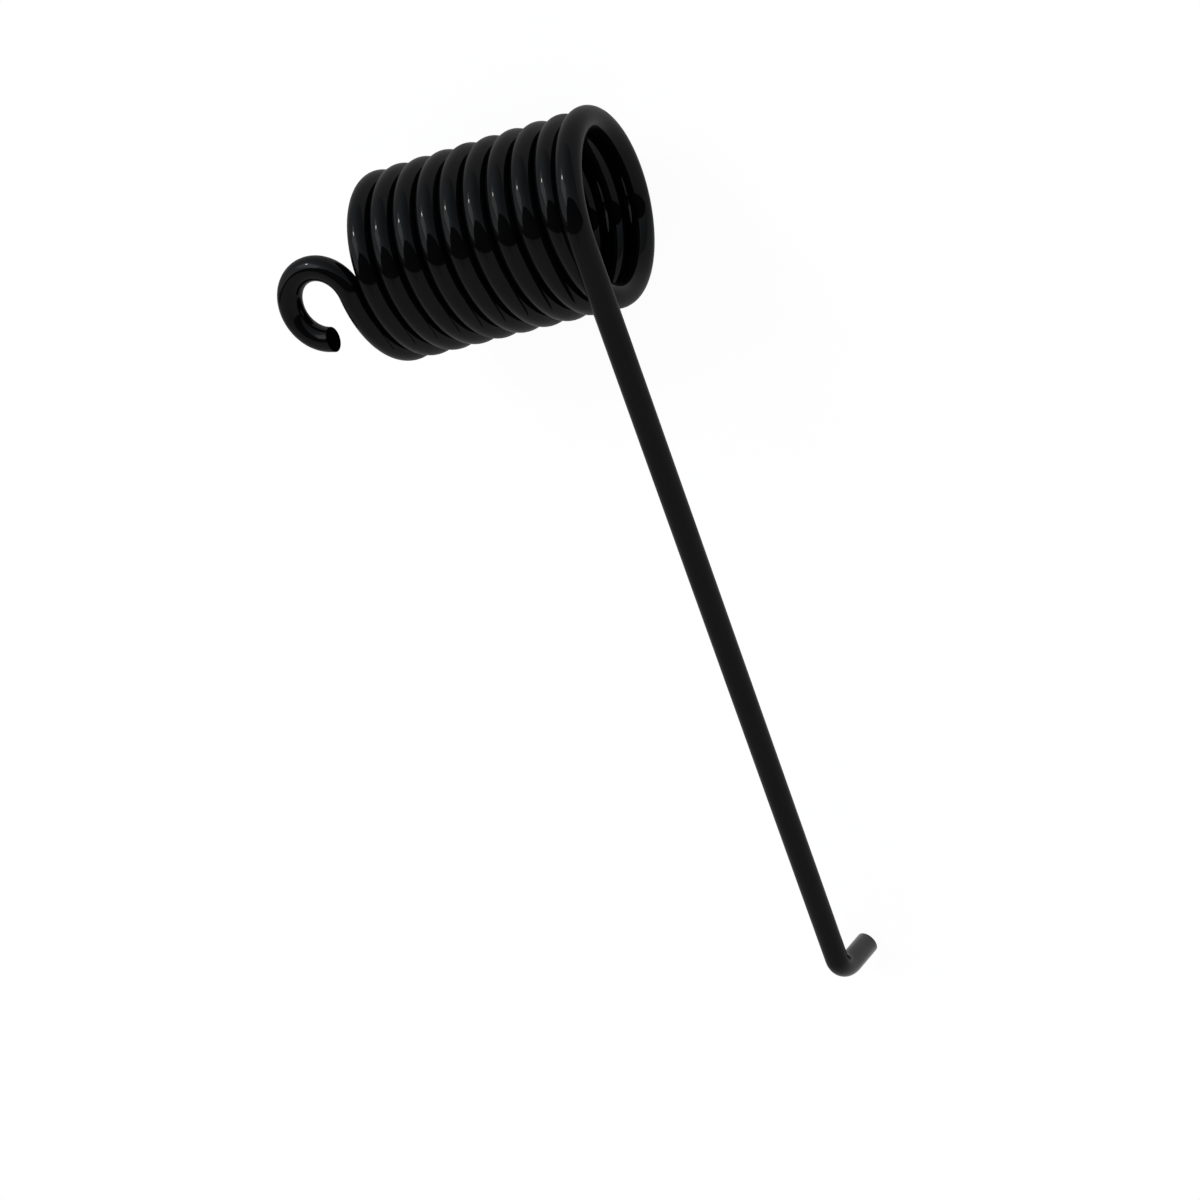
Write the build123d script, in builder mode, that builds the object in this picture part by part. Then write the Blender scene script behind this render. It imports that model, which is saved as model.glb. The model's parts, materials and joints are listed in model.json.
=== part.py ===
from build123d import *

import os
from math import cos, radians, sin, sqrt

# Torsion spring, wound from one length of round wire. All sizes are in millimetres.
#
# The spring is drawn in its winding frame, where the coil stands on end: Z is the coil's
# axis, the helix starts on +X and climbs, and the wire leaves both its ends tangentially.
# It is then laid down as it comes to rest by itself, on the back of the coil and on the
# tip of the bent leg, with the coil's axis along X and the long leg towards -Y.

# Wire
wire_diameter = 4.0

# Coil
coil_mean_diameter = 26.5  # across the centre line of the wire
coil_pitch = 4.16  # from one turn to the next, a little more than the wire
full_turns = 9
part_turn = 221.4  # degrees that the coil goes on after its full turns

# Run-out, the last of the winding, where the wire opens out from the coil to the long leg
run_out_radius = 14.4  # of the centre line
run_out_angle = 142.0  # degrees
run_out_lean = 1.4  # degrees by which its plane leans away from the coil

# Long leg, which leaves the run-out, and the short leg bent at its end
leg_length = 135.5  # from the run-out to the centre line of the short leg
bend_radius = 3.2  # of the centre line
short_leg_length = 8.5  # from the centre line of the long leg to the cut end
short_leg_lean = 20.4  # degrees from square to the coil's axis, away from the coil

# Hook eye, which leaves the first turn and curls away from the coil
eye_diameter = 7.7  # clear width inside the wire
eye_wrap = 256.0  # degrees
eye_lean = 2.7  # degrees by which the plane of the eye leans inwards
eye_end_drop = 6.4  # from the start of the helix to the sheared end, along the axis

wire_radius = wire_diameter / 2
coil_radius = coil_mean_diameter / 2
coil_outer_radius = coil_radius + wire_radius
coil_turns = full_turns + part_turn / 360
eye_radius = eye_diameter / 2 + wire_radius
coil_axis = Vector(0, 0, 1)


def square_to(direction, towards):
    """Unit vector square to a direction, pointing towards another as far as it can."""
    return (towards - direction * towards.dot(direction)).normalized()


def leaning(upright, sideways, angle):
    """Unit vector that leans from one direction towards another by an angle in degrees."""
    return upright * cos(radians(angle)) + sideways * sin(radians(angle))


with BuildPart() as winding:
    with BuildLine() as centre_line:
        coil = Helix(pitch=coil_pitch, height=coil_pitch * coil_turns, radius=coil_radius)

        # Run-out
        run_out_start = coil @ 1
        run_out_direction = coil % 1
        run_out_upwards = square_to(run_out_direction, coil_axis)
        run_out_inwards = run_out_upwards.cross(run_out_direction)
        to_run_out_centre = leaning(run_out_inwards, run_out_upwards, run_out_lean)
        run_out_centre = run_out_start + to_run_out_centre * run_out_radius
        run_out_arm = leaning(-to_run_out_centre, run_out_direction, run_out_angle)
        leg_start = run_out_centre + run_out_arm * run_out_radius
        leg_direction = leaning(run_out_direction, to_run_out_centre, run_out_angle)
        TangentArc(run_out_start, leg_start, tangent=run_out_direction)

        # Long leg and short leg
        leg_upwards = square_to(leg_direction, coil_axis)
        leg_inwards = leg_upwards.cross(leg_direction)
        short_leg_direction = leaning(leg_inwards, leg_upwards, short_leg_lean)
        leg_corner = leg_start + leg_direction * leg_length
        leg_tip = leg_corner + short_leg_direction * short_leg_length
        FilletPolyline(leg_start, leg_corner, leg_tip, radius=bend_radius)

        # Hook eye, and a straight nose that runs on past the place where it is sheared
        eye_start = coil @ 0
        eye_direction = -(coil % 0)
        eye_downwards = square_to(eye_direction, -coil_axis)
        eye_inwards = eye_downwards.cross(eye_direction)
        to_eye_centre = leaning(eye_downwards, eye_inwards, eye_lean)
        eye_centre = eye_start + to_eye_centre * eye_radius
        nose_start = eye_centre + leaning(-to_eye_centre, eye_direction, eye_wrap) * eye_radius
        nose_direction = leaning(eye_direction, to_eye_centre, eye_wrap)
        shear_height = eye_start.Z - eye_end_drop
        nose_length = (shear_height - nose_start.Z) / nose_direction.Z + wire_radius
        nose_tip = nose_start + nose_direction * nose_length
        TangentArc(eye_start, nose_start, tangent=eye_direction)
        Line(nose_start, nose_tip)

    with BuildSketch(Plane(origin=nose_tip, z_dir=-nose_direction)):
        Circle(wire_radius)
    sweep()

    # The nose is sheared square to the coil's axis
    with BuildSketch(Plane.XY.offset(shear_height)):
        with Locations((nose_tip.X, nose_tip.Y)):
            Circle(wire_diameter)
    extrude(amount=wire_diameter, mode=Mode.SUBTRACT)

# Seen along the coil's axis, with the long leg level and on top
level_ahead = square_to(coil_axis, leg_direction)
level_up = level_ahead.cross(coil_axis)


def tip_clearance(roll):
    """Height of the short leg's lowest edge over the ground that the coil lies on.

    The roll is in degrees from the place where the long leg is level.
    """
    up = leaning(level_up, -level_ahead, roll)
    edge_reach = wire_radius * sqrt(1 - short_leg_direction.dot(up) ** 2)
    return coil_outer_radius + leg_tip.dot(up) - edge_reach


# The coil rolls forward until the short leg stands on the ground
roll, roll_step = 0.0, 45.0
while roll_step > 1e-9:
    if tip_clearance(roll + roll_step) > 0:
        roll += roll_step
    roll_step /= 2

up = leaning(level_up, -level_ahead, roll)
ground = Plane(origin=-up * coil_outer_radius, x_dir=coil_axis, z_dir=up)
footprint = ground.to_local_coords(winding.part).bounding_box().center()

with BuildPart() as torsion_spring:
    with Locations(Location((-footprint.X, -footprint.Y, 0)) * ground.location.inverse()):
        add(winding.part)

os.makedirs("parts", exist_ok=True)
torsion_spring.part.label = "torsion_spring"
export_step(torsion_spring.part, "parts/torsion_spring.step")
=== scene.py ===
"""The looks of a torsion spring wound from one length of round wire with a gloss black coating.

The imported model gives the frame. The wire is modelled again here as one fine mesh: its coil,
its hook eye, its long leg and the short leg bent at the leg's end, with softened cut ends. It
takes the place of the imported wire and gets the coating's finish. All sizes are in metres.
"""

import json
import logging
from dataclasses import dataclass, field
from enum import Enum
from math import atan2, cos, degrees, pi, radians, sin, tau

import bmesh
import bpy
from mathutils import Matrix, Quaternion, Vector

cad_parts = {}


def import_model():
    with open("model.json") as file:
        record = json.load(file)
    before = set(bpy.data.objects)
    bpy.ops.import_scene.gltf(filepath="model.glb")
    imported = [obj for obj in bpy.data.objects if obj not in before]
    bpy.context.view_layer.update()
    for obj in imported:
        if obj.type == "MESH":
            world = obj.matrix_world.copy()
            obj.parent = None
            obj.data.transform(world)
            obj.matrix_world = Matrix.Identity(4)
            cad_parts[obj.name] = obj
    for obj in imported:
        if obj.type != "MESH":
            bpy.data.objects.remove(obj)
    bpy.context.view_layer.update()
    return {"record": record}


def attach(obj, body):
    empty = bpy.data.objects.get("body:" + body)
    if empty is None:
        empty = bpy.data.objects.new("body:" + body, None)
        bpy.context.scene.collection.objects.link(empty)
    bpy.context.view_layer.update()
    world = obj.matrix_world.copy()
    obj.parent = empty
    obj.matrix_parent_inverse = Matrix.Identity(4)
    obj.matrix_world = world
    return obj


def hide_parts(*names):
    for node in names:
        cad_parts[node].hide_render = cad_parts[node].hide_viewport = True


LOG = logging.getLogger("torsion_spring")

# What a node's input takes: a constant, or another node's output
Socket = bpy.types.NodeSocket
Number = float | Socket
Colour = tuple[float, ...] | Socket

# Places on a ramp from 0 to 1, and angles across the studio, with what is there
RampStops = tuple[tuple[float, tuple[float, float, float]], ...]
WallStops = tuple[tuple[float, float], ...]

MM = 0.001
WIRE_NODE = "torsion_spring"
WIRE_BODY = "root"
PLACE_ATTRIBUTE = "place_on_wire"

# Slack within which a corner counts as part of a ring
RING_SLACK = 0.01 * MM


# ---- Small helpers ----


def deselect_all() -> None:
    """Leaves object mode with nothing selected."""
    if bpy.context.object and bpy.context.object.mode != "OBJECT":
        bpy.ops.object.mode_set(mode="OBJECT")
    bpy.ops.object.select_all(action="DESELECT")


def make_active(piece: bpy.types.Object) -> None:
    """Selects one object alone and makes it the active one.

    Args:
        piece: The object.
    """
    deselect_all()
    piece.select_set(True)
    bpy.context.view_layer.objects.active = piece


def square_to(direction: Vector, towards: Vector) -> Vector:
    """Gives the unit vector square to a direction that points towards another.

    Args:
        direction: Unit vector that the result is square to.
        towards: Vector that the result leans to as far as it can.

    Returns:
        The unit vector.
    """
    return (towards - direction * towards.dot(direction)).normalized()


def leaning(upright: Vector, sideways: Vector, angle: float) -> Vector:
    """Gives a unit vector that leans from one direction towards another.

    Args:
        upright: Unit vector at no lean.
        sideways: Unit vector square to it.
        angle: Lean in degrees.

    Returns:
        The unit vector.
    """
    return upright * cos(radians(angle)) + sideways * sin(radians(angle))


# ---- The wire's centre line, in the winding frame: the coil stands on +Z and starts on +X ----


@dataclass(frozen=True)
class SpringSizes:
    """The sizes that the spring is wound to.

    Attributes:
        wire_diameter: Coated wire, across.
        coil_mean_diameter: Across the centre line of the coil.
        coil_pitch: From one turn to the next.
        full_turns: Number of full turns in the coil.
        part_turn: Degrees that the coil goes on after its full turns.
        run_out_radius: Of the centre line where the wire opens out to the long leg.
        run_out_angle: Degrees that the wire goes round there.
        run_out_lean: Degrees by which the run-out's plane leans away from the coil.
        leg_length: From the run-out to the centre line of the short leg.
        bend_radius: Of the centre line, between the two legs.
        short_leg_length: From the centre line of the long leg to the cut end.
        short_leg_lean: Degrees from square to the coil's axis.
        eye_diameter: Clear width of the hook eye.
        eye_wrap: Degrees that the eye goes round.
        eye_lean: Degrees by which its plane leans inwards.
        eye_end_drop: From the start of the coil to the sheared end, along the axis.
    """

    wire_diameter: float = 4.0 * MM
    coil_mean_diameter: float = 26.5 * MM
    coil_pitch: float = 4.16 * MM
    full_turns: int = 9
    part_turn: float = 221.4
    run_out_radius: float = 14.4 * MM
    run_out_angle: float = 142.0
    run_out_lean: float = 1.4
    leg_length: float = 135.5 * MM
    bend_radius: float = 3.2 * MM
    short_leg_length: float = 8.5 * MM
    short_leg_lean: float = 20.4
    eye_diameter: float = 7.7 * MM
    eye_wrap: float = 256.0
    eye_lean: float = 2.7
    eye_end_drop: float = 6.4 * MM

    @property
    def wire_radius(self) -> float:
        """Half the wire's diameter."""
        return self.wire_diameter / 2

    @property
    def coil_radius(self) -> float:
        """Radius of the coil's centre line."""
        return self.coil_mean_diameter / 2

    @property
    def coil_turns(self) -> float:
        """Turns that the coil makes."""
        return self.full_turns + self.part_turn / 360

    @property
    def coil_height(self) -> float:
        """From one end of the coil's centre line to the other, along the axis."""
        return self.coil_pitch * self.coil_turns

    @property
    def eye_radius(self) -> float:
        """Radius of the eye's centre line."""
        return self.eye_diameter / 2 + self.wire_radius


class CentreLine:
    """The wire's centre line, worked out from the sizes."""

    def __init__(self, sizes: SpringSizes) -> None:
        """Works out where each stretch starts and which way it goes.

        Args:
            sizes: The sizes that the spring is wound to.
        """
        axis = Vector((0, 0, 1))
        self.start, self.start_direction = self.on_coil(sizes, 0)
        self.end, self.end_direction = self.on_coil(sizes, sizes.coil_turns)

        # Run-out, in a plane that leans a little away from the coil
        upwards = square_to(self.end_direction, axis)
        inwards = upwards.cross(self.end_direction)
        to_centre = leaning(inwards, upwards, sizes.run_out_lean)
        self.run_out_centre = self.end + to_centre * sizes.run_out_radius
        self.run_out_axis = self.end_direction.cross(to_centre)
        arm = leaning(-to_centre, self.end_direction, sizes.run_out_angle)
        self.leg_start = self.run_out_centre + arm * sizes.run_out_radius
        self.leg_direction = leaning(self.end_direction, to_centre, sizes.run_out_angle)

        # Long leg, bend and short leg
        upwards = square_to(self.leg_direction, axis)
        inwards = upwards.cross(self.leg_direction)
        self.tip_direction = leaning(inwards, upwards, sizes.short_leg_lean)
        self.bend_axis = self.leg_direction.cross(self.tip_direction)
        self.leg_straight = sizes.leg_length - sizes.bend_radius
        self.tip_straight = sizes.short_leg_length - sizes.bend_radius
        self.bend_start = self.leg_start + self.leg_direction * self.leg_straight
        self.bend_centre = self.bend_start + self.tip_direction * sizes.bend_radius

        # Hook eye, its nose and the plane in which the nose is sheared
        eye_direction = -self.start_direction
        downwards = square_to(eye_direction, -axis)
        inwards = downwards.cross(eye_direction)
        to_centre = leaning(downwards, inwards, sizes.eye_lean)
        self.eye_centre = self.start + to_centre * sizes.eye_radius
        self.eye_axis = eye_direction.cross(to_centre)
        self.nose_direction = leaning(eye_direction, to_centre, sizes.eye_wrap)
        arm = leaning(-to_centre, eye_direction, sizes.eye_wrap)
        self.nose_start = self.eye_centre + arm * sizes.eye_radius
        self.shear_height = self.start.z - sizes.eye_end_drop
        drop = self.shear_height - self.nose_start.z
        self.nose_straight = drop / self.nose_direction.z

    @staticmethod
    def on_coil(sizes: SpringSizes, turns: float) -> tuple[Vector, Vector]:
        """Gives a place on the coil's centre line, and the way it climbs there.

        Args:
            sizes: The sizes that the spring is wound to.
            turns: Turns from the start of the coil.

        Returns:
            The place and the unit direction.
        """
        angle = tau * turns
        round_axis = Vector((cos(angle), sin(angle), 0)) * sizes.coil_radius
        climb = sizes.coil_pitch / tau
        direction = Vector((-round_axis.y, round_axis.x, climb)).normalized()
        return round_axis + Vector((0, 0, sizes.coil_pitch * turns)), direction


# ---- The wire as a mesh ----


class Finish(Enum):
    """The finishes of the wire, each with its place in the wire's material slots."""

    COATED_WIRE = 0
    CUT_END = 1


@dataclass
class Wire:
    """The whole wire as one closed mesh, modelled along its centre line.

    Attributes:
        sizes: The sizes that the spring is wound to.
        around: Corners of the wire's round section.
        steps_per_turn: Rings in one turn of the coil.
        eye_steps: Rings in the hook eye.
        bend_steps: Rings in the bend.
        straight_step: Longest stretch between two rings where the wire is straight.
        cut_bevel: How far the coating rounds the rim of a cut end.
        cut_bevel_steps: Facets across that rounding.
        bend_angle: Degrees from the long leg to the short leg.
        sharpest_smooth: Degrees between two faces up to which they are shaded as one.
        line: The centre line, worked out from the sizes.
        piece: The wire itself, once its coil is wound.
    """

    sizes: SpringSizes = field(default_factory=SpringSizes)
    around: int = 40
    steps_per_turn: int = 90
    eye_steps: int = 72
    bend_steps: int = 24
    straight_step: float = 4 * MM
    cut_bevel: float = 0.09 * MM
    cut_bevel_steps: int = 3
    bend_angle: float = 90.0
    sharpest_smooth: float = 40.0
    line: CentreLine = field(init=False)
    piece: bpy.types.Object = field(init=False)

    def __post_init__(self) -> None:
        """Works out the centre line."""
        self.line = CentreLine(self.sizes)

    def build(self, place: Matrix) -> bpy.types.Object:
        """Models the wire and lays it down in the row frame.

        Args:
            place: From the winding frame to the row frame.

        Returns:
            The finished piece.
        """
        self.wind_coil()
        self.dress()
        self.bend_leg()
        self.curl_eye()
        self.lay_out()
        self.cut_leg()
        self.shear_nose()
        self.finish(place)
        return self.piece

    def wind_coil(self) -> None:
        """Winds a round section up the coil."""
        deselect_all()
        bpy.ops.mesh.primitive_circle_add(
            vertices=self.around,
            radius=self.sizes.wire_radius,
            location=self.line.start,
            rotation=self.line.start_direction.to_track_quat("Z", "Y").to_euler(),
        )
        self.piece = bpy.context.object
        self.piece.name = self.piece.data.name = "coated_wire"
        bpy.ops.object.transform_apply(location=True, rotation=True, scale=True)
        winding = self.piece.modifiers.new("winding", "SCREW")
        winding.angle = tau * self.sizes.coil_turns
        winding.screw_offset = self.sizes.coil_height
        winding.steps = round(self.steps_per_turn * self.sizes.coil_turns)
        winding.render_steps = winding.steps
        winding.use_smooth_shade = True
        bpy.ops.object.modifier_apply(modifier=winding.name)

    def dress(self) -> None:
        """Gives the wire its finishes, in the order of their slots."""
        effects = WireEffects.build()
        for finish in Finish:
            self.piece.data.materials.append(FINISHES[finish].build(effects))

    def bend_leg(self) -> None:
        """Opens the winding out to the long leg, bends it square and draws the short leg."""
        line, sizes = self.line, self.sizes
        self.edit_ring(line.end, line.end_direction)
        run_out_steps = round(self.steps_per_turn * sizes.run_out_angle / 360)
        self.bend(line.run_out_centre, line.run_out_axis, sizes.run_out_angle, run_out_steps)
        self.draw_straight(line.leg_direction, line.leg_straight)
        self.bend(line.bend_centre, line.bend_axis, self.bend_angle, self.bend_steps)
        self.draw_straight(line.tip_direction, line.tip_straight)
        bpy.ops.object.mode_set(mode="OBJECT")

    def curl_eye(self) -> None:
        """Curls the hook eye and draws its nose out past the plane of the cut."""
        line = self.line
        self.edit_ring(line.start, line.start_direction)
        self.bend(line.eye_centre, line.eye_axis, self.sizes.eye_wrap, self.eye_steps)
        self.draw_straight(line.nose_direction, line.nose_straight + self.sizes.wire_radius)
        bpy.ops.object.mode_set(mode="OBJECT")

    def edit_ring(self, centre: Vector, direction: Vector) -> None:
        """Enters edit mode with one ring of the wire selected.

        Args:
            centre: Centre of the ring.
            direction: Direction of the wire there.
        """
        self.select_between(centre, direction, -RING_SLACK, RING_SLACK)

    def select_between(self, centre: Vector, direction: Vector, low: float, high: float) -> None:
        """Enters edit mode with a short stretch of the wire selected.

        Args:
            centre: A place on the centre line.
            direction: Direction of the wire there.
            low: Where the stretch starts, along that direction from the centre.
            high: Where it ends.
        """
        bpy.ops.object.mode_set(mode="EDIT")
        bpy.ops.mesh.select_mode(type="VERT")
        bpy.ops.mesh.select_all(action="DESELECT")
        mesh = bmesh.from_edit_mesh(self.piece.data)
        for corner in mesh.verts:
            from_centre = corner.co - centre
            along = from_centre.dot(direction)
            across = (from_centre - direction * along).length
            on_wire = across < self.sizes.wire_radius + RING_SLACK
            corner.select_set(on_wire and low < along < high)
        mesh.select_flush(True)
        bmesh.update_edit_mesh(self.piece.data)

    def draw_straight(self, direction: Vector, length: float) -> None:
        """Draws the selected ring out in a straight line, in even steps.

        Args:
            direction: Unit vector of the line.
            length: How far it goes.
        """
        steps = max(1, round(length / self.straight_step))
        for _ in range(steps):
            bpy.ops.mesh.extrude_region_move(
                TRANSFORM_OT_translate={"value": direction * (length / steps)}
            )

    def bend(self, centre: Vector, axis: Vector, angle: float, steps: int) -> None:
        """Bends the wire on from the selected ring.

        Args:
            centre: Centre of the bend.
            axis: Axis that the bend turns about by the right-hand rule.
            angle: How far it turns, in degrees.
            steps: Rings in the bend.
        """
        # The spin operator turns against the right-hand rule
        bpy.ops.mesh.spin(steps=steps, angle=-radians(angle), center=centre, axis=axis)

    def lay_out(self) -> None:
        """Stores where each corner lies on the wire if the wire is pulled straight.

        The stored vector has the corner's place in the round section as X and Y, and its
        distance along the wire from the tip of the short leg as Z.
        """
        mesh = bmesh.new()
        mesh.from_mesh(self.piece.data)
        place = mesh.verts.layers.float_vector.new(PLACE_ATTRIBUTE)
        ring = self.end_ring(mesh)
        passed = set()
        along = 0.0
        last_centre = None
        while ring:
            centre = sum((corner.co for corner in ring), Vector()) / len(ring)
            if last_centre is not None:
                along += (centre - last_centre).length
            last_centre = centre
            for number, corner in enumerate(ring):
                angle = tau * number / len(ring)
                across = Vector((cos(angle), sin(angle), 0)) * self.sizes.wire_radius
                corner[place] = across + Vector((0, 0, along))
            passed.update(ring)
            neighbours = (
                next((e.other_vert(v) for e in v.link_edges if e.other_vert(v) not in passed), None)
                for v in ring
            )
            ring = [corner for corner in neighbours if corner is not None]
        mesh.to_mesh(self.piece.data)
        mesh.free()
        LOG.info("wire drawn out to %.1f mm", along / MM)

    def end_ring(self, mesh: bmesh.types.BMesh) -> list[bmesh.types.BMVert]:
        """Finds the open ring at the tip of the short leg.

        Args:
            mesh: The open tube.

        Returns:
            The ring's corners in order.
        """
        tip = self.tip_centre()
        rim = {v for v in mesh.verts if v.is_boundary}
        first = min(rim, key=lambda corner: (corner.co - tip).length)
        ring = [first]
        while True:
            onwards = [
                edge.other_vert(ring[-1])
                for edge in ring[-1].link_edges
                if edge.is_boundary and edge.other_vert(ring[-1]) not in ring
            ]
            if not onwards:
                return ring
            ring.append(onwards[0])

    def tip_centre(self) -> Vector:
        """Centre of the short leg's cut end."""
        corner = self.line.leg_start + self.line.leg_direction * self.sizes.leg_length
        return corner + self.line.tip_direction * self.sizes.short_leg_length

    def cut_leg(self) -> None:
        """Closes the cut end of the short leg and rounds its rim."""
        self.edit_ring(self.tip_centre(), self.line.tip_direction)
        bpy.ops.mesh.edge_face_add()
        self.round_rim()

    def shear_nose(self) -> None:
        """Shears the nose of the hook eye square to the coil's axis."""
        line = self.line
        reach = line.nose_straight + 2 * self.sizes.wire_radius
        self.select_between(line.nose_start, line.nose_direction, -self.sizes.wire_radius, reach)
        shear_plane = Vector((0, 0, line.shear_height))
        bpy.ops.mesh.bisect(
            plane_co=shear_plane, plane_no=(0, 0, 1), use_fill=True, clear_outer=True
        )
        self.round_rim()

    def round_rim(self) -> None:
        """Rounds the rim of the selected cut face, and gives the face the cut ends' finish."""
        mesh = bmesh.from_edit_mesh(self.piece.data)
        for face in mesh.faces:
            if face.select:
                face.material_index = Finish.CUT_END.value
        bmesh.update_edit_mesh(self.piece.data)
        bpy.ops.mesh.bevel(offset=self.cut_bevel, segments=self.cut_bevel_steps, affect="EDGES")
        bpy.ops.object.mode_set(mode="OBJECT")

    def finish(self, place: Matrix) -> None:
        """Lays the wire down in the row frame, with its faces outwards and smooth.

        Args:
            place: From the winding frame to the row frame.
        """
        make_active(self.piece)
        self.piece.matrix_world = place
        bpy.ops.object.transform_apply(location=True, rotation=True, scale=True)
        bpy.ops.object.mode_set(mode="EDIT")
        bpy.ops.mesh.select_all(action="SELECT")
        bpy.ops.mesh.normals_make_consistent(inside=False)
        bpy.ops.object.mode_set(mode="OBJECT")
        bpy.ops.object.shade_smooth_by_angle(angle=radians(self.sharpest_smooth))


def resting_place(frame: dict, sizes: SpringSizes) -> Matrix:
    """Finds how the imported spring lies, from its mounts.

    Args:
        sizes: The sizes that the spring is wound to.

    Returns:
        From the winding frame to the row frame.
    """
    mounts = {mount["name"]: mount for mount in frame["record"]["mounts"]}
    tip = CentreLine(sizes).tip_direction
    lies = Vector(mounts["short_leg"]["axis"])
    roll = atan2(lies.z, lies.y) - atan2(tip.y, tip.x)
    centre = Vector(mounts["coil_bore"]["pos_m"])
    axis_to_x = Matrix(((0, 0, 1), (1, 0, 0), (0, 1, 0))).to_4x4()
    half_height = Matrix.Translation((0, 0, -sizes.coil_height / 2))
    LOG.info("the coil has rolled %.3f degrees", degrees(roll))
    return Matrix.Translation(centre) @ Matrix.Rotation(roll, 4, "X") @ axis_to_x @ half_height


# ---- Node helpers ----


class Bench:
    """Sets nodes into one node tree and wires them up."""

    def __init__(self, tree: bpy.types.NodeTree) -> None:
        """Takes the tree that the nodes go into.

        Args:
            tree: The node tree of a material, a world or a group.
        """
        self.tree = tree

    def node(self, kind: str, **settings: object) -> bpy.types.Node:
        """Adds a node.

        Args:
            kind: Blender's name for the node type.
            settings: Properties of the node to set.

        Returns:
            The node.
        """
        node = self.tree.nodes.new(kind)
        for name, value in settings.items():
            setattr(node, name, value)
        return node

    def wire(self, source: Socket, target: Socket) -> None:
        """Joins an output to an input."""
        self.tree.links.new(source, target)

    def feed(self, target: Socket, value: Number | Colour) -> None:
        """Sets an input to a constant, or wires an output to it.

        Args:
            target: The input.
            value: The constant or the output.
        """
        if isinstance(value, Socket):
            self.wire(value, target)
        else:
            target.default_value = value

    def maths(self, operation: str, *values: Number, clamp: bool = False) -> Socket:
        """Adds a Math node.

        Args:
            operation: Its operation.
            values: Constants or sockets, in the order of its inputs.
            clamp: Whether the result is kept from 0 to 1.

        Returns:
            Its output.
        """
        node = self.node("ShaderNodeMath", operation=operation, use_clamp=clamp)
        for target, value in zip(node.inputs, values):
            self.feed(target, value)
        return node.outputs["Value"]

    def noise(self, place: Socket, scale: Number, detail: float, roughness: float = 0.5) -> Socket:
        """Adds a Noise Texture.

        Args:
            place: Place to read.
            scale: How many times finer than the place's unit the noise is.
            detail: Octaves.
            roughness: How strong the fine octaves are.

        Returns:
            The noise, about 0.5.
        """
        node = self.node("ShaderNodeTexNoise")
        self.wire(place, node.inputs["Vector"])
        self.feed(node.inputs["Scale"], scale)
        node.inputs["Detail"].default_value = detail
        node.inputs["Roughness"].default_value = roughness
        return node.outputs["Fac"]

    def between(
        self, value: Number, low: Number, high: Number, to_low: Number = 0.0, to_high: Number = 1.0
    ) -> Socket:
        """Maps a range of values onto another with soft ends.

        Args:
            value: What is mapped.
            low: Value that becomes to_low.
            high: Value that becomes to_high.
            to_low: Result at and below low.
            to_high: Result at and above high.

        Returns:
            The mapped value.
        """
        node = self.node("ShaderNodeMapRange", interpolation_type="SMOOTHSTEP")
        for target, given in zip(node.inputs, (value, low, high, to_low, to_high)):
            self.feed(target, given)
        return node.outputs["Result"]

    def mixed(self, factor: Socket, first: Colour, second: Colour) -> Socket:
        """Mixes two colours.

        Args:
            factor: Share of the second, from 0 to 1.
            first: Colour or socket at 0.
            second: Colour or socket at 1.

        Returns:
            The mixed colour.
        """
        node = self.node("ShaderNodeMix", data_type="RGBA")
        # The first two sockets named A and B are for numbers
        colours = [socket for socket in node.inputs if socket.type == "RGBA"]
        self.wire(factor, node.inputs["Factor"])
        self.feed(colours[0], first)
        self.feed(colours[1], second)
        return next(socket for socket in node.outputs if socket.type == "RGBA")

    def bump(self, height: Socket, distance: float) -> Socket:
        """Adds a Bump node.

        Args:
            height: Height to raise.
            distance: How far a height of 1 stands out.

        Returns:
            The bumped normal.
        """
        node = self.node("ShaderNodeBump")
        node.inputs["Distance"].default_value = distance
        self.wire(height, node.inputs["Height"])
        return node.outputs["Normal"]

    def ramp(self, value: Socket, stops: RampStops) -> Socket:
        """Adds a Color Ramp.

        Args:
            value: What the ramp reads, from 0 to 1.
            stops: Places on the ramp with their colours, in order.

        Returns:
            Its colour.
        """
        node = self.node("ShaderNodeValToRGB")
        self.wire(value, node.inputs["Fac"])
        elements = node.color_ramp.elements
        elements.remove(elements[-1])
        for number, (place, colour) in enumerate(stops):
            element = elements[0] if number == 0 else elements.new(place)
            element.position = place
            element.color = (*colour, 1.0)
        return node.outputs["Color"]


def new_group(
    name: str, sizes: dict[str, float], outputs: tuple[str, ...]
) -> tuple[Bench, bpy.types.Node, bpy.types.Node]:
    """Starts a node group that reads a place on the wire and gives masks or heights.

    Args:
        name: Name of the group.
        sizes: Each further input's name with its default, in metres.
        outputs: Names of the outputs.

    Returns:
        The bench to build on, and the group's input and output nodes.
    """
    tree = bpy.data.node_groups.new(name, "ShaderNodeTree")
    tree.interface.new_socket("Place", in_out="INPUT", socket_type="NodeSocketVector")
    for label, size in sizes.items():
        socket = tree.interface.new_socket(label, in_out="INPUT", socket_type="NodeSocketFloat")
        socket.default_value = size
    for label in outputs:
        tree.interface.new_socket(label, in_out="OUTPUT", socket_type="NodeSocketFloat")
    bench = Bench(tree)
    return bench, bench.node("NodeGroupInput"), bench.node("NodeGroupOutput")


# ---- Effects that the finishes share ----


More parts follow.
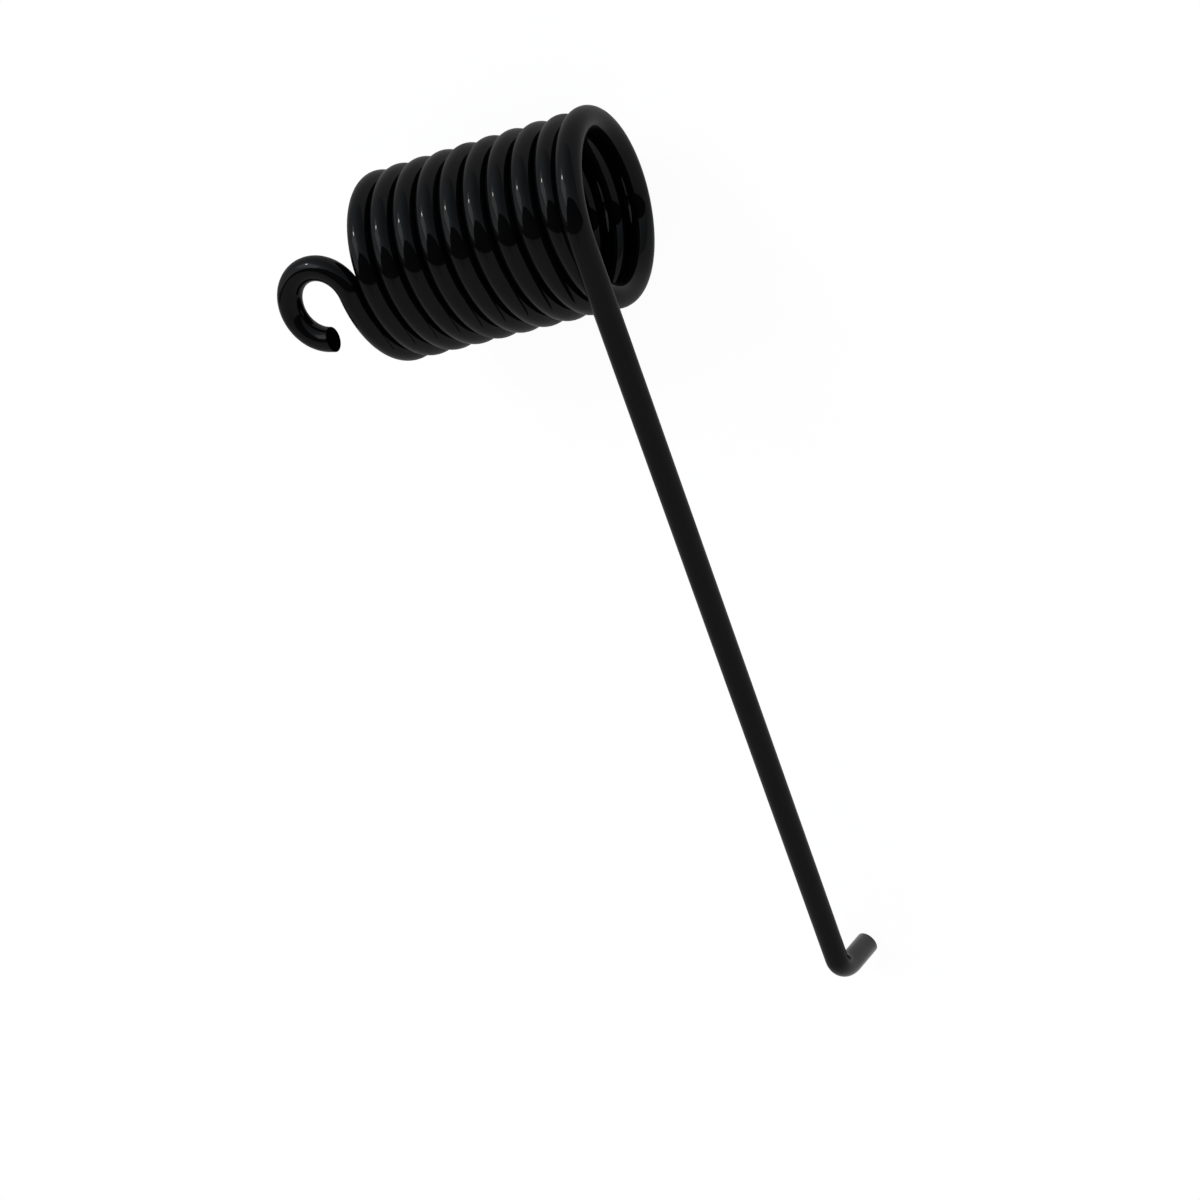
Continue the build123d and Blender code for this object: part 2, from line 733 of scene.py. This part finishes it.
def drawn_lines_group() -> bpy.types.NodeTree:
    """Builds the fine lines that the drawing die leaves along the wire.

    Returns:
        The group. Line Width and Line Length are in metres, Height and Lines run from 0 to 1.
    """
    bench, given, result = new_group(
        "drawn_lines", {"Line Width": 0.1 * MM, "Line Length": 30 * MM}, ("Height", "Lines")
    )
    size = bench.node("ShaderNodeCombineXYZ")
    bench.wire(given.outputs["Line Width"], size.inputs["X"])
    bench.wire(given.outputs["Line Width"], size.inputs["Y"])
    bench.wire(given.outputs["Line Length"], size.inputs["Z"])
    divide = bench.node("ShaderNodeVectorMath", operation="DIVIDE")
    bench.wire(given.outputs["Place"], divide.inputs[0])
    bench.wire(size.outputs["Vector"], divide.inputs[1])
    lines = bench.noise(divide.outputs["Vector"], scale=1.0, detail=2.0, roughness=0.6)
    bench.wire(lines, result.inputs["Height"])
    bench.wire(bench.between(lines, low=0.52, high=0.7), result.inputs["Lines"])
    return bench.tree


def coating_skin_group() -> bpy.types.NodeTree:
    """Builds the skin of a stoved coating: long low waves and a few nibs of dust under it.

    Returns:
        The group. Wave Size, Nib Spacing and Nib Size are in metres, the outputs run from 0 to 1.
    """
    bench, given, result = new_group(
        "coating_skin",
        {"Wave Size": 1.2 * MM, "Nib Spacing": 3 * MM, "Nib Size": 0.1 * MM},
        ("Waves", "Nibs"),
    )
    wave_scale = bench.maths("DIVIDE", 1.0, given.outputs["Wave Size"])
    waves = bench.noise(given.outputs["Place"], wave_scale, detail=1.0)
    bench.wire(waves, result.inputs["Waves"])

    cells = bench.node("ShaderNodeTexVoronoi")
    bench.wire(given.outputs["Place"], cells.inputs["Vector"])
    bench.wire(bench.maths("DIVIDE", 1.0, given.outputs["Nib Spacing"]), cells.inputs["Scale"])
    from_nib = bench.maths("MULTIPLY", cells.outputs["Distance"], given.outputs["Nib Spacing"])
    nibs = bench.between(from_nib, 0.0, given.outputs["Nib Size"], to_low=1.0, to_high=0.0)
    # Only some of the cells have a nib
    kept = bench.node("ShaderNodeSeparateColor")
    bench.wire(cells.outputs["Color"], kept.inputs["Color"])
    some = bench.between(kept.outputs["Red"], low=0.5, high=0.9)
    bench.wire(bench.maths("MULTIPLY", nibs, some), result.inputs["Nibs"])
    return bench.tree


def handling_group() -> bpy.types.NodeTree:
    """Builds the soft patches where the gloss is a little duller from handling.

    Returns:
        The group. Patch Size is in metres, Dulling runs from 0 to 1.
    """
    bench, given, result = new_group("handling", {"Patch Size": 8 * MM}, ("Dulling",))
    patch_scale = bench.maths("DIVIDE", 1.0, given.outputs["Patch Size"])
    patches = bench.noise(given.outputs["Place"], patch_scale, detail=4.0, roughness=0.65)
    bench.wire(bench.between(patches, low=0.45, high=0.7), result.inputs["Dulling"])
    return bench.tree


def painted_sheen_group() -> bpy.types.NodeTree:
    """Builds the mask of the short leg, where a painted sheen raises the coating's gloss.

    Returns:
        The group. Full To and Gone By are in metres from the short leg's tip, the mask runs
        from 0 to 1.
    """
    bench, given, result = new_group(
        "painted_sheen", {"Full To": 5.3 * MM, "Gone By": 10.6 * MM}, ("Thickness",)
    )
    parted = bench.node("ShaderNodeSeparateXYZ")
    bench.wire(given.outputs["Place"], parted.inputs["Vector"])
    full_to, gone_by = given.outputs["Full To"], given.outputs["Gone By"]
    painted_sheen_share = bench.between(parted.outputs["Z"], full_to, gone_by, to_low=1.0, to_high=0.0)
    bench.wire(painted_sheen_share, result.inputs["Thickness"])
    return bench.tree


# ---- Finishes ----


@dataclass(frozen=True)
class WireEffects:
    """The shared effects, built once for all finishes of the wire.

    Attributes:
        drawn_lines: Lines left by the drawing die.
        coating_skin: Waves and nibs of the coating.
        handling: Duller patches.
        painted_sheen: Painted sheen on the short leg, which raises the gloss there.
    """

    drawn_lines: bpy.types.NodeTree
    coating_skin: bpy.types.NodeTree
    handling: bpy.types.NodeTree
    painted_sheen: bpy.types.NodeTree

    @classmethod
    def build(cls) -> "WireEffects":
        """Builds the effects.

        Returns:
            The effects.
        """
        return cls(
            drawn_lines_group(), coating_skin_group(), handling_group(), painted_sheen_group()
        )


def place_effect(
    bench: Bench, group: bpy.types.NodeTree, place: Socket, **values: float
) -> bpy.types.Node:
    """Places a shared effect in a material.

    Args:
        bench: Bench of the material.
        group: The effect.
        place: Place on the wire that it reads.
        values: Its inputs, with underscores for spaces.

    Returns:
        The group node.
    """
    node = bench.node("ShaderNodeGroup", node_tree=group)
    bench.wire(place, node.inputs["Place"])
    for name, value in values.items():
        node.inputs[name.replace("_", " ").title()].default_value = value
    return node


def new_material(name: str) -> tuple[bpy.types.Material, Bench, bpy.types.Node]:
    """Starts a material with one Principled shader.

    Args:
        name: Name of the material.

    Returns:
        The material, the bench to build on and the shader.
    """
    material = bpy.data.materials.new(name)
    material.use_nodes = True
    bench = Bench(material.node_tree)
    bench.tree.nodes.clear()
    shader = bench.node("ShaderNodeBsdfPrincipled")
    output = bench.node("ShaderNodeOutputMaterial")
    bench.wire(shader.outputs["BSDF"], output.inputs["Surface"])
    return material, bench, shader


@dataclass(frozen=True)
class GlossBlackCoating:
    """A thin black stoved coating with a smooth gloss skin over drawn wire.

    Attributes:
        black: Colour of the coating.
        dulled_black: Colour where it is dulled by handling.
        nib_grey: Colour of a nib.
        gloss: How strongly the gloss skin mirrors.
        painted_sheen_gloss: The same on the short leg, raised there as painted sheen.
        gloss_roughness: Roughness of the gloss skin.
        body_gloss: Specular level of the coating under its skin.
        body_roughness: Its roughness where it is clean.
        dulled_roughness: Its roughness where it is dulled.
        wave_height: Height of the skin's waves.
        line_height: Height of the drawn lines that show through.
        nib_height: Height of a nib.
        line_fading: Share of the gloss that the drawn lines take away.
        dulled_fading: Share of the gloss that handling takes away.
        nib_fading: Share of the gloss that a nib takes away.
        coat_ior: Index of refraction of the gloss skin.
        edge_start: How far the skin turns away, from 0 to 1, before its gloss fades.
        edge_fading: Share of the gloss that is lost where the skin is seen edge-on.
    """

    black: tuple[float, float, float] = (0.0017, 0.0017, 0.0018)
    dulled_black: tuple[float, float, float] = (0.0022, 0.0022, 0.0023)
    nib_grey: tuple[float, float, float] = (0.012, 0.012, 0.012)
    gloss: float = 0.2
    painted_sheen_gloss: float = 1.0
    gloss_roughness: float = 0.02
    body_gloss: float = 0.003
    body_roughness: float = 0.28
    dulled_roughness: float = 0.5
    wave_height: float = 0.018 * MM
    line_height: float = 0.0015 * MM
    nib_height: float = 0.012 * MM
    line_fading: float = 0.14
    dulled_fading: float = 0.12
    nib_fading: float = 0.6
    coat_ior: float = 1.5
    edge_start: float = 0.6
    edge_fading: float = 0.75

    def build(self, effects: WireEffects) -> bpy.types.Material:
        """Builds the material.

        Args:
            effects: The shared effects.

        Returns:
            The material.
        """
        material, bench, shader = new_material("gloss_black_coating")
        place = bench.node("ShaderNodeAttribute", attribute_name=PLACE_ATTRIBUTE).outputs["Vector"]
        lines = place_effect(bench, effects.drawn_lines, place)
        skin = place_effect(bench, effects.coating_skin, place)
        handling = place_effect(bench, effects.handling, place)
        dulling = handling.outputs["Dulling"]

        nibs = skin.outputs["Nibs"]
        colour = bench.mixed(dulling, (*self.black, 1.0), (*self.dulled_black, 1.0))
        colour = bench.mixed(nibs, colour, (*self.nib_grey, 1.0))
        bench.wire(colour, shader.inputs["Base Color"])

        rough = bench.between(dulling, 0.0, 1.0, self.body_roughness, self.dulled_roughness)
        bench.wire(rough, shader.inputs["Roughness"])
        # Painted sheen: the short leg mirrors more strongly, standing in for brighter light falling
        # on it
        run = place_effect(bench, effects.painted_sheen, place)
        painted_sheen_share = run.outputs["Thickness"]
        gloss = bench.maths("MULTIPLY_ADD", painted_sheen_share, self.painted_sheen_gloss - self.gloss, self.gloss)
        turned_away = bench.node("ShaderNodeLayerWeight").outputs["Facing"]
        for mark, fading in (
            (bench.between(turned_away, self.edge_start, 1.0), self.edge_fading),
            (lines.outputs["Lines"], self.line_fading),
            (dulling, self.dulled_fading),
            (nibs, self.nib_fading),
        ):
            gloss = bench.maths("MULTIPLY", gloss, bench.maths("MULTIPLY_ADD", mark, -fading, 1.0))
        bench.wire(gloss, shader.inputs["Coat Weight"])

        waves = bench.maths("MULTIPLY", skin.outputs["Waves"], self.wave_height)
        height = bench.maths("MULTIPLY_ADD", nibs, self.nib_height, waves)
        height = bench.maths("MULTIPLY_ADD", lines.outputs["Height"], self.line_height, height)
        # The height is in metres already
        bench.wire(bench.bump(height, distance=1.0), shader.inputs["Normal"])

        shader.inputs["Specular IOR Level"].default_value = self.body_gloss
        shader.inputs["Coat Roughness"].default_value = self.gloss_roughness
        shader.inputs["Coat IOR"].default_value = self.coat_ior
        return material


@dataclass(frozen=True)
class CutEndCoating:
    """The matt coating on the cut ends, over the marks of the cut.

    Attributes:
        black: Colour of the coating.
        roughness: Its roughness in the smooth band of the cut.
        torn_roughness: Its roughness where the wire broke off.
        mark_height: Height of the marks.
        mark_width: Width of a mark.
        mark_length: Length of a mark.
    """

    black: tuple[float, float, float] = (0.0008, 0.0008, 0.0008)
    roughness: float = 0.5
    torn_roughness: float = 0.8
    mark_height: float = 0.02 * MM
    mark_width: float = 0.12 * MM
    mark_length: float = 2 * MM

    def build(self, effects: WireEffects) -> bpy.types.Material:
        """Builds the material.

        Args:
            effects: The shared effects.

        Returns:
            The material.
        """
        material, bench, shader = new_material("cut_end_coating")
        place = bench.node("ShaderNodeAttribute", attribute_name=PLACE_ATTRIBUTE).outputs["Vector"]
        # The marks run across the cut face
        turned = bench.node("ShaderNodeVectorRotate", rotation_type="Y_AXIS")
        bench.wire(place, turned.inputs["Vector"])
        turned.inputs["Angle"].default_value = radians(90)
        marks = place_effect(
            bench,
            effects.drawn_lines,
            turned.outputs["Vector"],
            line_width=self.mark_width,
            line_length=self.mark_length,
        )
        shader.inputs["Base Color"].default_value = (*self.black, 1.0)
        rough = bench.between(
            marks.outputs["Lines"], 0.0, 1.0, self.roughness, self.torn_roughness
        )
        bench.wire(rough, shader.inputs["Roughness"])
        normal = bench.bump(marks.outputs["Height"], distance=self.mark_height)
        bench.wire(normal, shader.inputs["Normal"])
        shader.inputs["Specular IOR Level"].default_value = 0.0
        return material


FINISHES = {Finish.COATED_WIRE: GlossBlackCoating(), Finish.CUT_END: CutEndCoating()}


# ---- Studio ----


def pointing(azimuth: float, elevation: float) -> Vector:
    """Gives the unit vector in a direction.

    Args:
        azimuth: Degrees from +X.
        elevation: Degrees above the horizon.

    Returns:
        The unit vector.
    """
    level = cos(radians(elevation))
    flat = Vector((cos(radians(azimuth)), sin(radians(azimuth)), 0)) * level
    return flat + Vector((0, 0, sin(radians(elevation))))


@dataclass(frozen=True)
class PaleFloor:
    """The plain white floor that the spring lies on.

    Attributes:
        size: Width of the floor.
        colour: Its colour under the lamps.
        plain_share: How much of the plain white stands for the lit floor, where it is seen
            straight on or in a mirror. The rest is the lit floor with the spring's shadow.
        plain_white: Strength of the plain white.
    """

    size: float = 8.0
    colour: tuple[float, float, float] = (0.9, 0.9, 0.9)
    plain_share: float = 0.93
    plain_white: float = 1.02

    def build(self) -> bpy.types.Object:
        """Lays the floor.

        Returns:
            The floor.
        """
        deselect_all()
        bpy.ops.mesh.primitive_plane_add(size=self.size)
        floor = bpy.context.object
        floor.name = floor.data.name = "floor"
        material = bpy.data.materials.new("pale_floor")
        material.use_nodes = True
        material.cycles.emission_sampling = "NONE"
        bench = Bench(material.node_tree)
        bench.tree.nodes.clear()
        lit = bench.node("ShaderNodeBsdfDiffuse")
        lit.inputs["Color"].default_value = (*self.colour, 1.0)
        plain = bench.node("ShaderNodeEmission")
        plain.inputs["Strength"].default_value = self.plain_white
        rays = bench.node("ShaderNodeLightPath").outputs
        seen = bench.maths("ADD", rays["Is Camera Ray"], rays["Is Glossy Ray"])
        seen = bench.maths("ADD", seen, rays["Is Transmission Ray"], clamp=True)
        mix = bench.node("ShaderNodeMixShader")
        bench.wire(bench.maths("MULTIPLY", seen, self.plain_share), mix.inputs["Fac"])
        bench.wire(lit.outputs["BSDF"], mix.inputs[1])
        bench.wire(plain.outputs["Emission"], mix.inputs[2])
        output = bench.node("ShaderNodeOutputMaterial")
        bench.wire(mix.outputs["Shader"], output.inputs["Surface"])
        floor.data.materials.append(material)
        return floor


@dataclass(frozen=True)
class StudioWalls:
    """The studio round the spring: two long soft walls with a dark gap above the spring.

    The gap runs along X. An angle across the studio is 0 straight up, -90 on the horizon
    towards -Y and 90 on the horizon towards +Y.

    Attributes:
        brightness: Strength of the walls at the brightest stop.
        near_wall: Stops of the wall towards -Y: angle and brightness.
        gap: Angles across the studio where the dark gap starts and ends.
        gap_brightness: Brightness in the gap.
        far_wall_left: Stops of the wall towards +Y, as it is towards -X.
        far_wall_right: The same, as it is towards +X.
        far_tint: Tint of the wall towards +Y.
        far_rise: How much higher the wall towards +Y stands towards -X.
        blend: How far to each side of the middle the far wall's two ends blend.
        seam: Where the seam between the walls stands towards -X, as Y over -X.
        seam_softness: How soft the seam's sides are, in the same measure.
        seam_brightness: Brightness in the seam.
        overhead: Heights in the unit sphere of directions between which the walls dim.
        overhead_brightness: Brightness straight overhead.
    """

    brightness: float = 2.5
    near_wall: WallStops = (
        (-90, 1.00),
        (-60, 0.92),
        (-35, 0.87),
        (-21, 0.86),
        (-14, 0.83),
        (-7, 0.77),
    )
    gap: tuple[float, float] = (-5.5, 30.5)
    gap_brightness: float = 0.05
    far_wall_left: WallStops = (
        (31.5, 2.30),
        (40, 2.05),
        (50, 1.75),
        (60, 1.55),
        (75, 1.30),
        (90, 1.05),
    )
    far_wall_right: WallStops = (
        (31.5, 0.88),
        (45, 0.70),
        (60, 0.62),
        (75, 0.56),
        (90, 0.50),
    )
    far_tint: tuple[float, float, float] = (0.93, 1.0, 1.07)
    far_rise: float = 0.34
    blend: float = 0.6
    seam: tuple[float, float] = (-0.05, 0.11)
    seam_softness: float = 0.02
    seam_brightness: float = 0.2
    overhead: tuple[float, float] = (0.90, 0.985)
    overhead_brightness: float = 0.74

    def stops(self, far_wall: WallStops) -> RampStops:
        """Gives the ramp's stops across the studio.

        Args:
            far_wall: Stops of the wall towards +Y.

        Returns:
            Places on the ramp with their colours.
        """
        plain = [(angle, (value,) * 3) for angle, value in self.near_wall]
        plain += [(angle, (self.gap_brightness,) * 3) for angle in self.gap]
        tinted = [(angle, tuple(value * c for c in self.far_tint)) for angle, value in far_wall]
        return tuple(
            ((angle + 90) / 180, tuple(c / self.brightness for c in colour))
            for angle, colour in plain + tinted
        )

    def build(self) -> None:
        """Builds the world."""
        world = bpy.data.worlds.new("studio_walls")
        bpy.context.scene.world = world
        world.use_nodes = True
        bench = Bench(world.node_tree)
        bench.tree.nodes.clear()
        direction = bench.node("ShaderNodeSeparateXYZ")
        bench.wire(bench.node("ShaderNodeTexCoord").outputs["Generated"], direction.inputs[0])
        x, y, z = direction.outputs

        # Towards -X the far wall stands higher, from the seam on
        above_zero = 0.001
        to_left = bench.maths("MAXIMUM", bench.maths("MULTIPLY", x, -1.0), above_zero)
        slant = bench.maths("DIVIDE", y, to_left)
        past_seam = bench.maths("GREATER_THAN", slant, sum(self.seam) / 2)
        rise = bench.maths("MULTIPLY", bench.maths("MULTIPLY", to_left, past_seam), self.far_rise)
        across = bench.maths("ARCTAN2", bench.maths("ADD", y, rise), z)
        # The ramps go from 0 at -90 degrees to 1 at 90
        across = bench.maths("MULTIPLY_ADD", across, 1 / pi, 0.5, clamp=True)

        left = bench.ramp(across, self.stops(self.far_wall_left))
        right = bench.ramp(across, self.stops(self.far_wall_right))
        walls = bench.mixed(bench.between(x, -self.blend, self.blend), left, right)
        (low, high), soft = self.seam, self.seam_softness
        after = bench.between(slant, low - soft, low + soft)
        before = bench.between(slant, high - soft, high + soft, to_low=1.0, to_high=0.0)
        seam = bench.maths("MULTIPLY", after, before)
        shade = bench.maths("MULTIPLY_ADD", seam, self.seam_brightness - 1.0, 1.0)
        low, high = self.overhead
        overhead = bench.between(z, low, high, to_low=1.0, to_high=self.overhead_brightness)
        shade = bench.maths("MULTIPLY", shade, overhead)
        walls = bench.mixed(shade, (0.0, 0.0, 0.0, 1.0), walls)

        background = bench.node("ShaderNodeBackground")
        bench.wire(walls, background.inputs["Color"])
        background.inputs["Strength"].default_value = self.brightness
        output = bench.node("ShaderNodeOutputWorld")
        bench.wire(background.outputs["Background"], output.inputs["Surface"])


@dataclass(frozen=True)
class SoftLamp:
    """One soft lamp that faces the coil.

    Attributes:
        name: Name of the lamp.
        azimuth: Where it stands as seen from the coil, in degrees from +X.
        elevation: Its height, in degrees.
        distance: How far it stands from the coil.
        width: Its width.
        height: Its height.
        turn: How far it is turned about the line to the coil, in degrees.
        brightness: Its radiance, where 1 is white.
    """

    name: str
    azimuth: float
    elevation: float
    distance: float
    width: float
    height: float
    turn: float
    brightness: float

    def build(self, aim: Vector) -> None:
        """Hangs the lamp.

        Args:
            aim: What it faces.
        """
        data = bpy.data.lights.new(self.name, "AREA")
        data.shape = "RECTANGLE"
        data.size = self.width
        data.size_y = self.height
        # Blender spreads an area lamp's power over four times its area
        data.energy = 4 * self.width * self.height * self.brightness
        lamp = bpy.data.objects.new(self.name, data)
        bpy.context.scene.collection.objects.link(lamp)
        away = pointing(self.azimuth, self.elevation)
        facing = away.to_track_quat("Z", "Y") @ Quaternion((0, 0, 1), radians(self.turn))
        hung = Matrix.Translation(aim + away * self.distance)
        lamp.matrix_world = hung @ facing.to_matrix().to_4x4()
        lamp.visible_camera = False


@dataclass(frozen=True)
class Studio:
    """The floor, the walls, the lamps and the camera.

    Attributes:
        floor: The floor.
        walls: The studio's walls.
        lamps: The lamps.
        lamp_aim: What the lamps face.
        camera_place: Where the camera stands.
        camera_aim: What it looks at.
        camera_turn: How far it is turned about its line of sight, in degrees.
        camera_lens: Its focal length, in mm.
        camera_sensor: Width of its sensor, in mm.
        camera_reach: The nearest that it sees.
    """

    floor: PaleFloor = PaleFloor()
    walls: StudioWalls = StudioWalls()
    lamps: tuple[SoftLamp, ...] = (
        SoftLamp(
            name="soft_box",
            azimuth=125.5,
            elevation=40,
            distance=1.2,
            width=0.51,
            height=0.74,
            turn=17,
            brightness=1.85,
        ),
        SoftLamp(
            name="small_lamp",
            azimuth=122,
            elevation=31,
            distance=1.2,
            width=0.08,
            height=0.08,
            turn=0,
            brightness=70,
        ),
    )
    lamp_aim: tuple[float, float, float] = (0.005, 0.061, 0.02)
    camera_place: tuple[float, float, float] = (0.14783, 0.08382, 0.29326)
    camera_aim: tuple[float, float, float] = (0.00399, 0.00066, 0.016)
    camera_turn: float = -134.017
    camera_lens: float = 59.069
    camera_sensor: float = 36.0
    camera_reach: float = 0.01

    def build(self) -> None:
        """Builds the studio and sets the scene's camera."""
        self.floor.build()
        self.walls.build()
        for lamp in self.lamps:
            lamp.build(Vector(self.lamp_aim))
        data = bpy.data.cameras.new("camera")
        data.sensor_width = self.camera_sensor
        data.lens = self.camera_lens
        data.clip_start = self.camera_reach
        camera = bpy.data.objects.new("camera", data)
        bpy.context.scene.collection.objects.link(camera)
        place = Vector(self.camera_place)
        sight = (Vector(self.camera_aim) - place).to_track_quat("-Z", "Y")
        turned = sight @ Quaternion((0, 0, 1), radians(self.camera_turn))
        camera.matrix_world = Matrix.Translation(place) @ turned.to_matrix().to_4x4()
        bpy.context.scene.camera = camera
        bpy.context.scene.view_settings.view_transform = "Standard"


def main() -> None:
    """Builds the scene."""
    logging.basicConfig(level=logging.INFO, format="%(name)s: %(message)s")
    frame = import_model()
    sizes = SpringSizes()
    wire = Wire(sizes)
    piece = wire.build(resting_place(frame, sizes))
    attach(piece, WIRE_BODY)
    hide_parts(WIRE_NODE)
    Studio().build()
    triangles = sum(len(face.vertices) - 2 for face in piece.data.polygons)
    LOG.info("%s: %d triangles", piece.name, triangles)


if __name__ == "__main__":
    main()
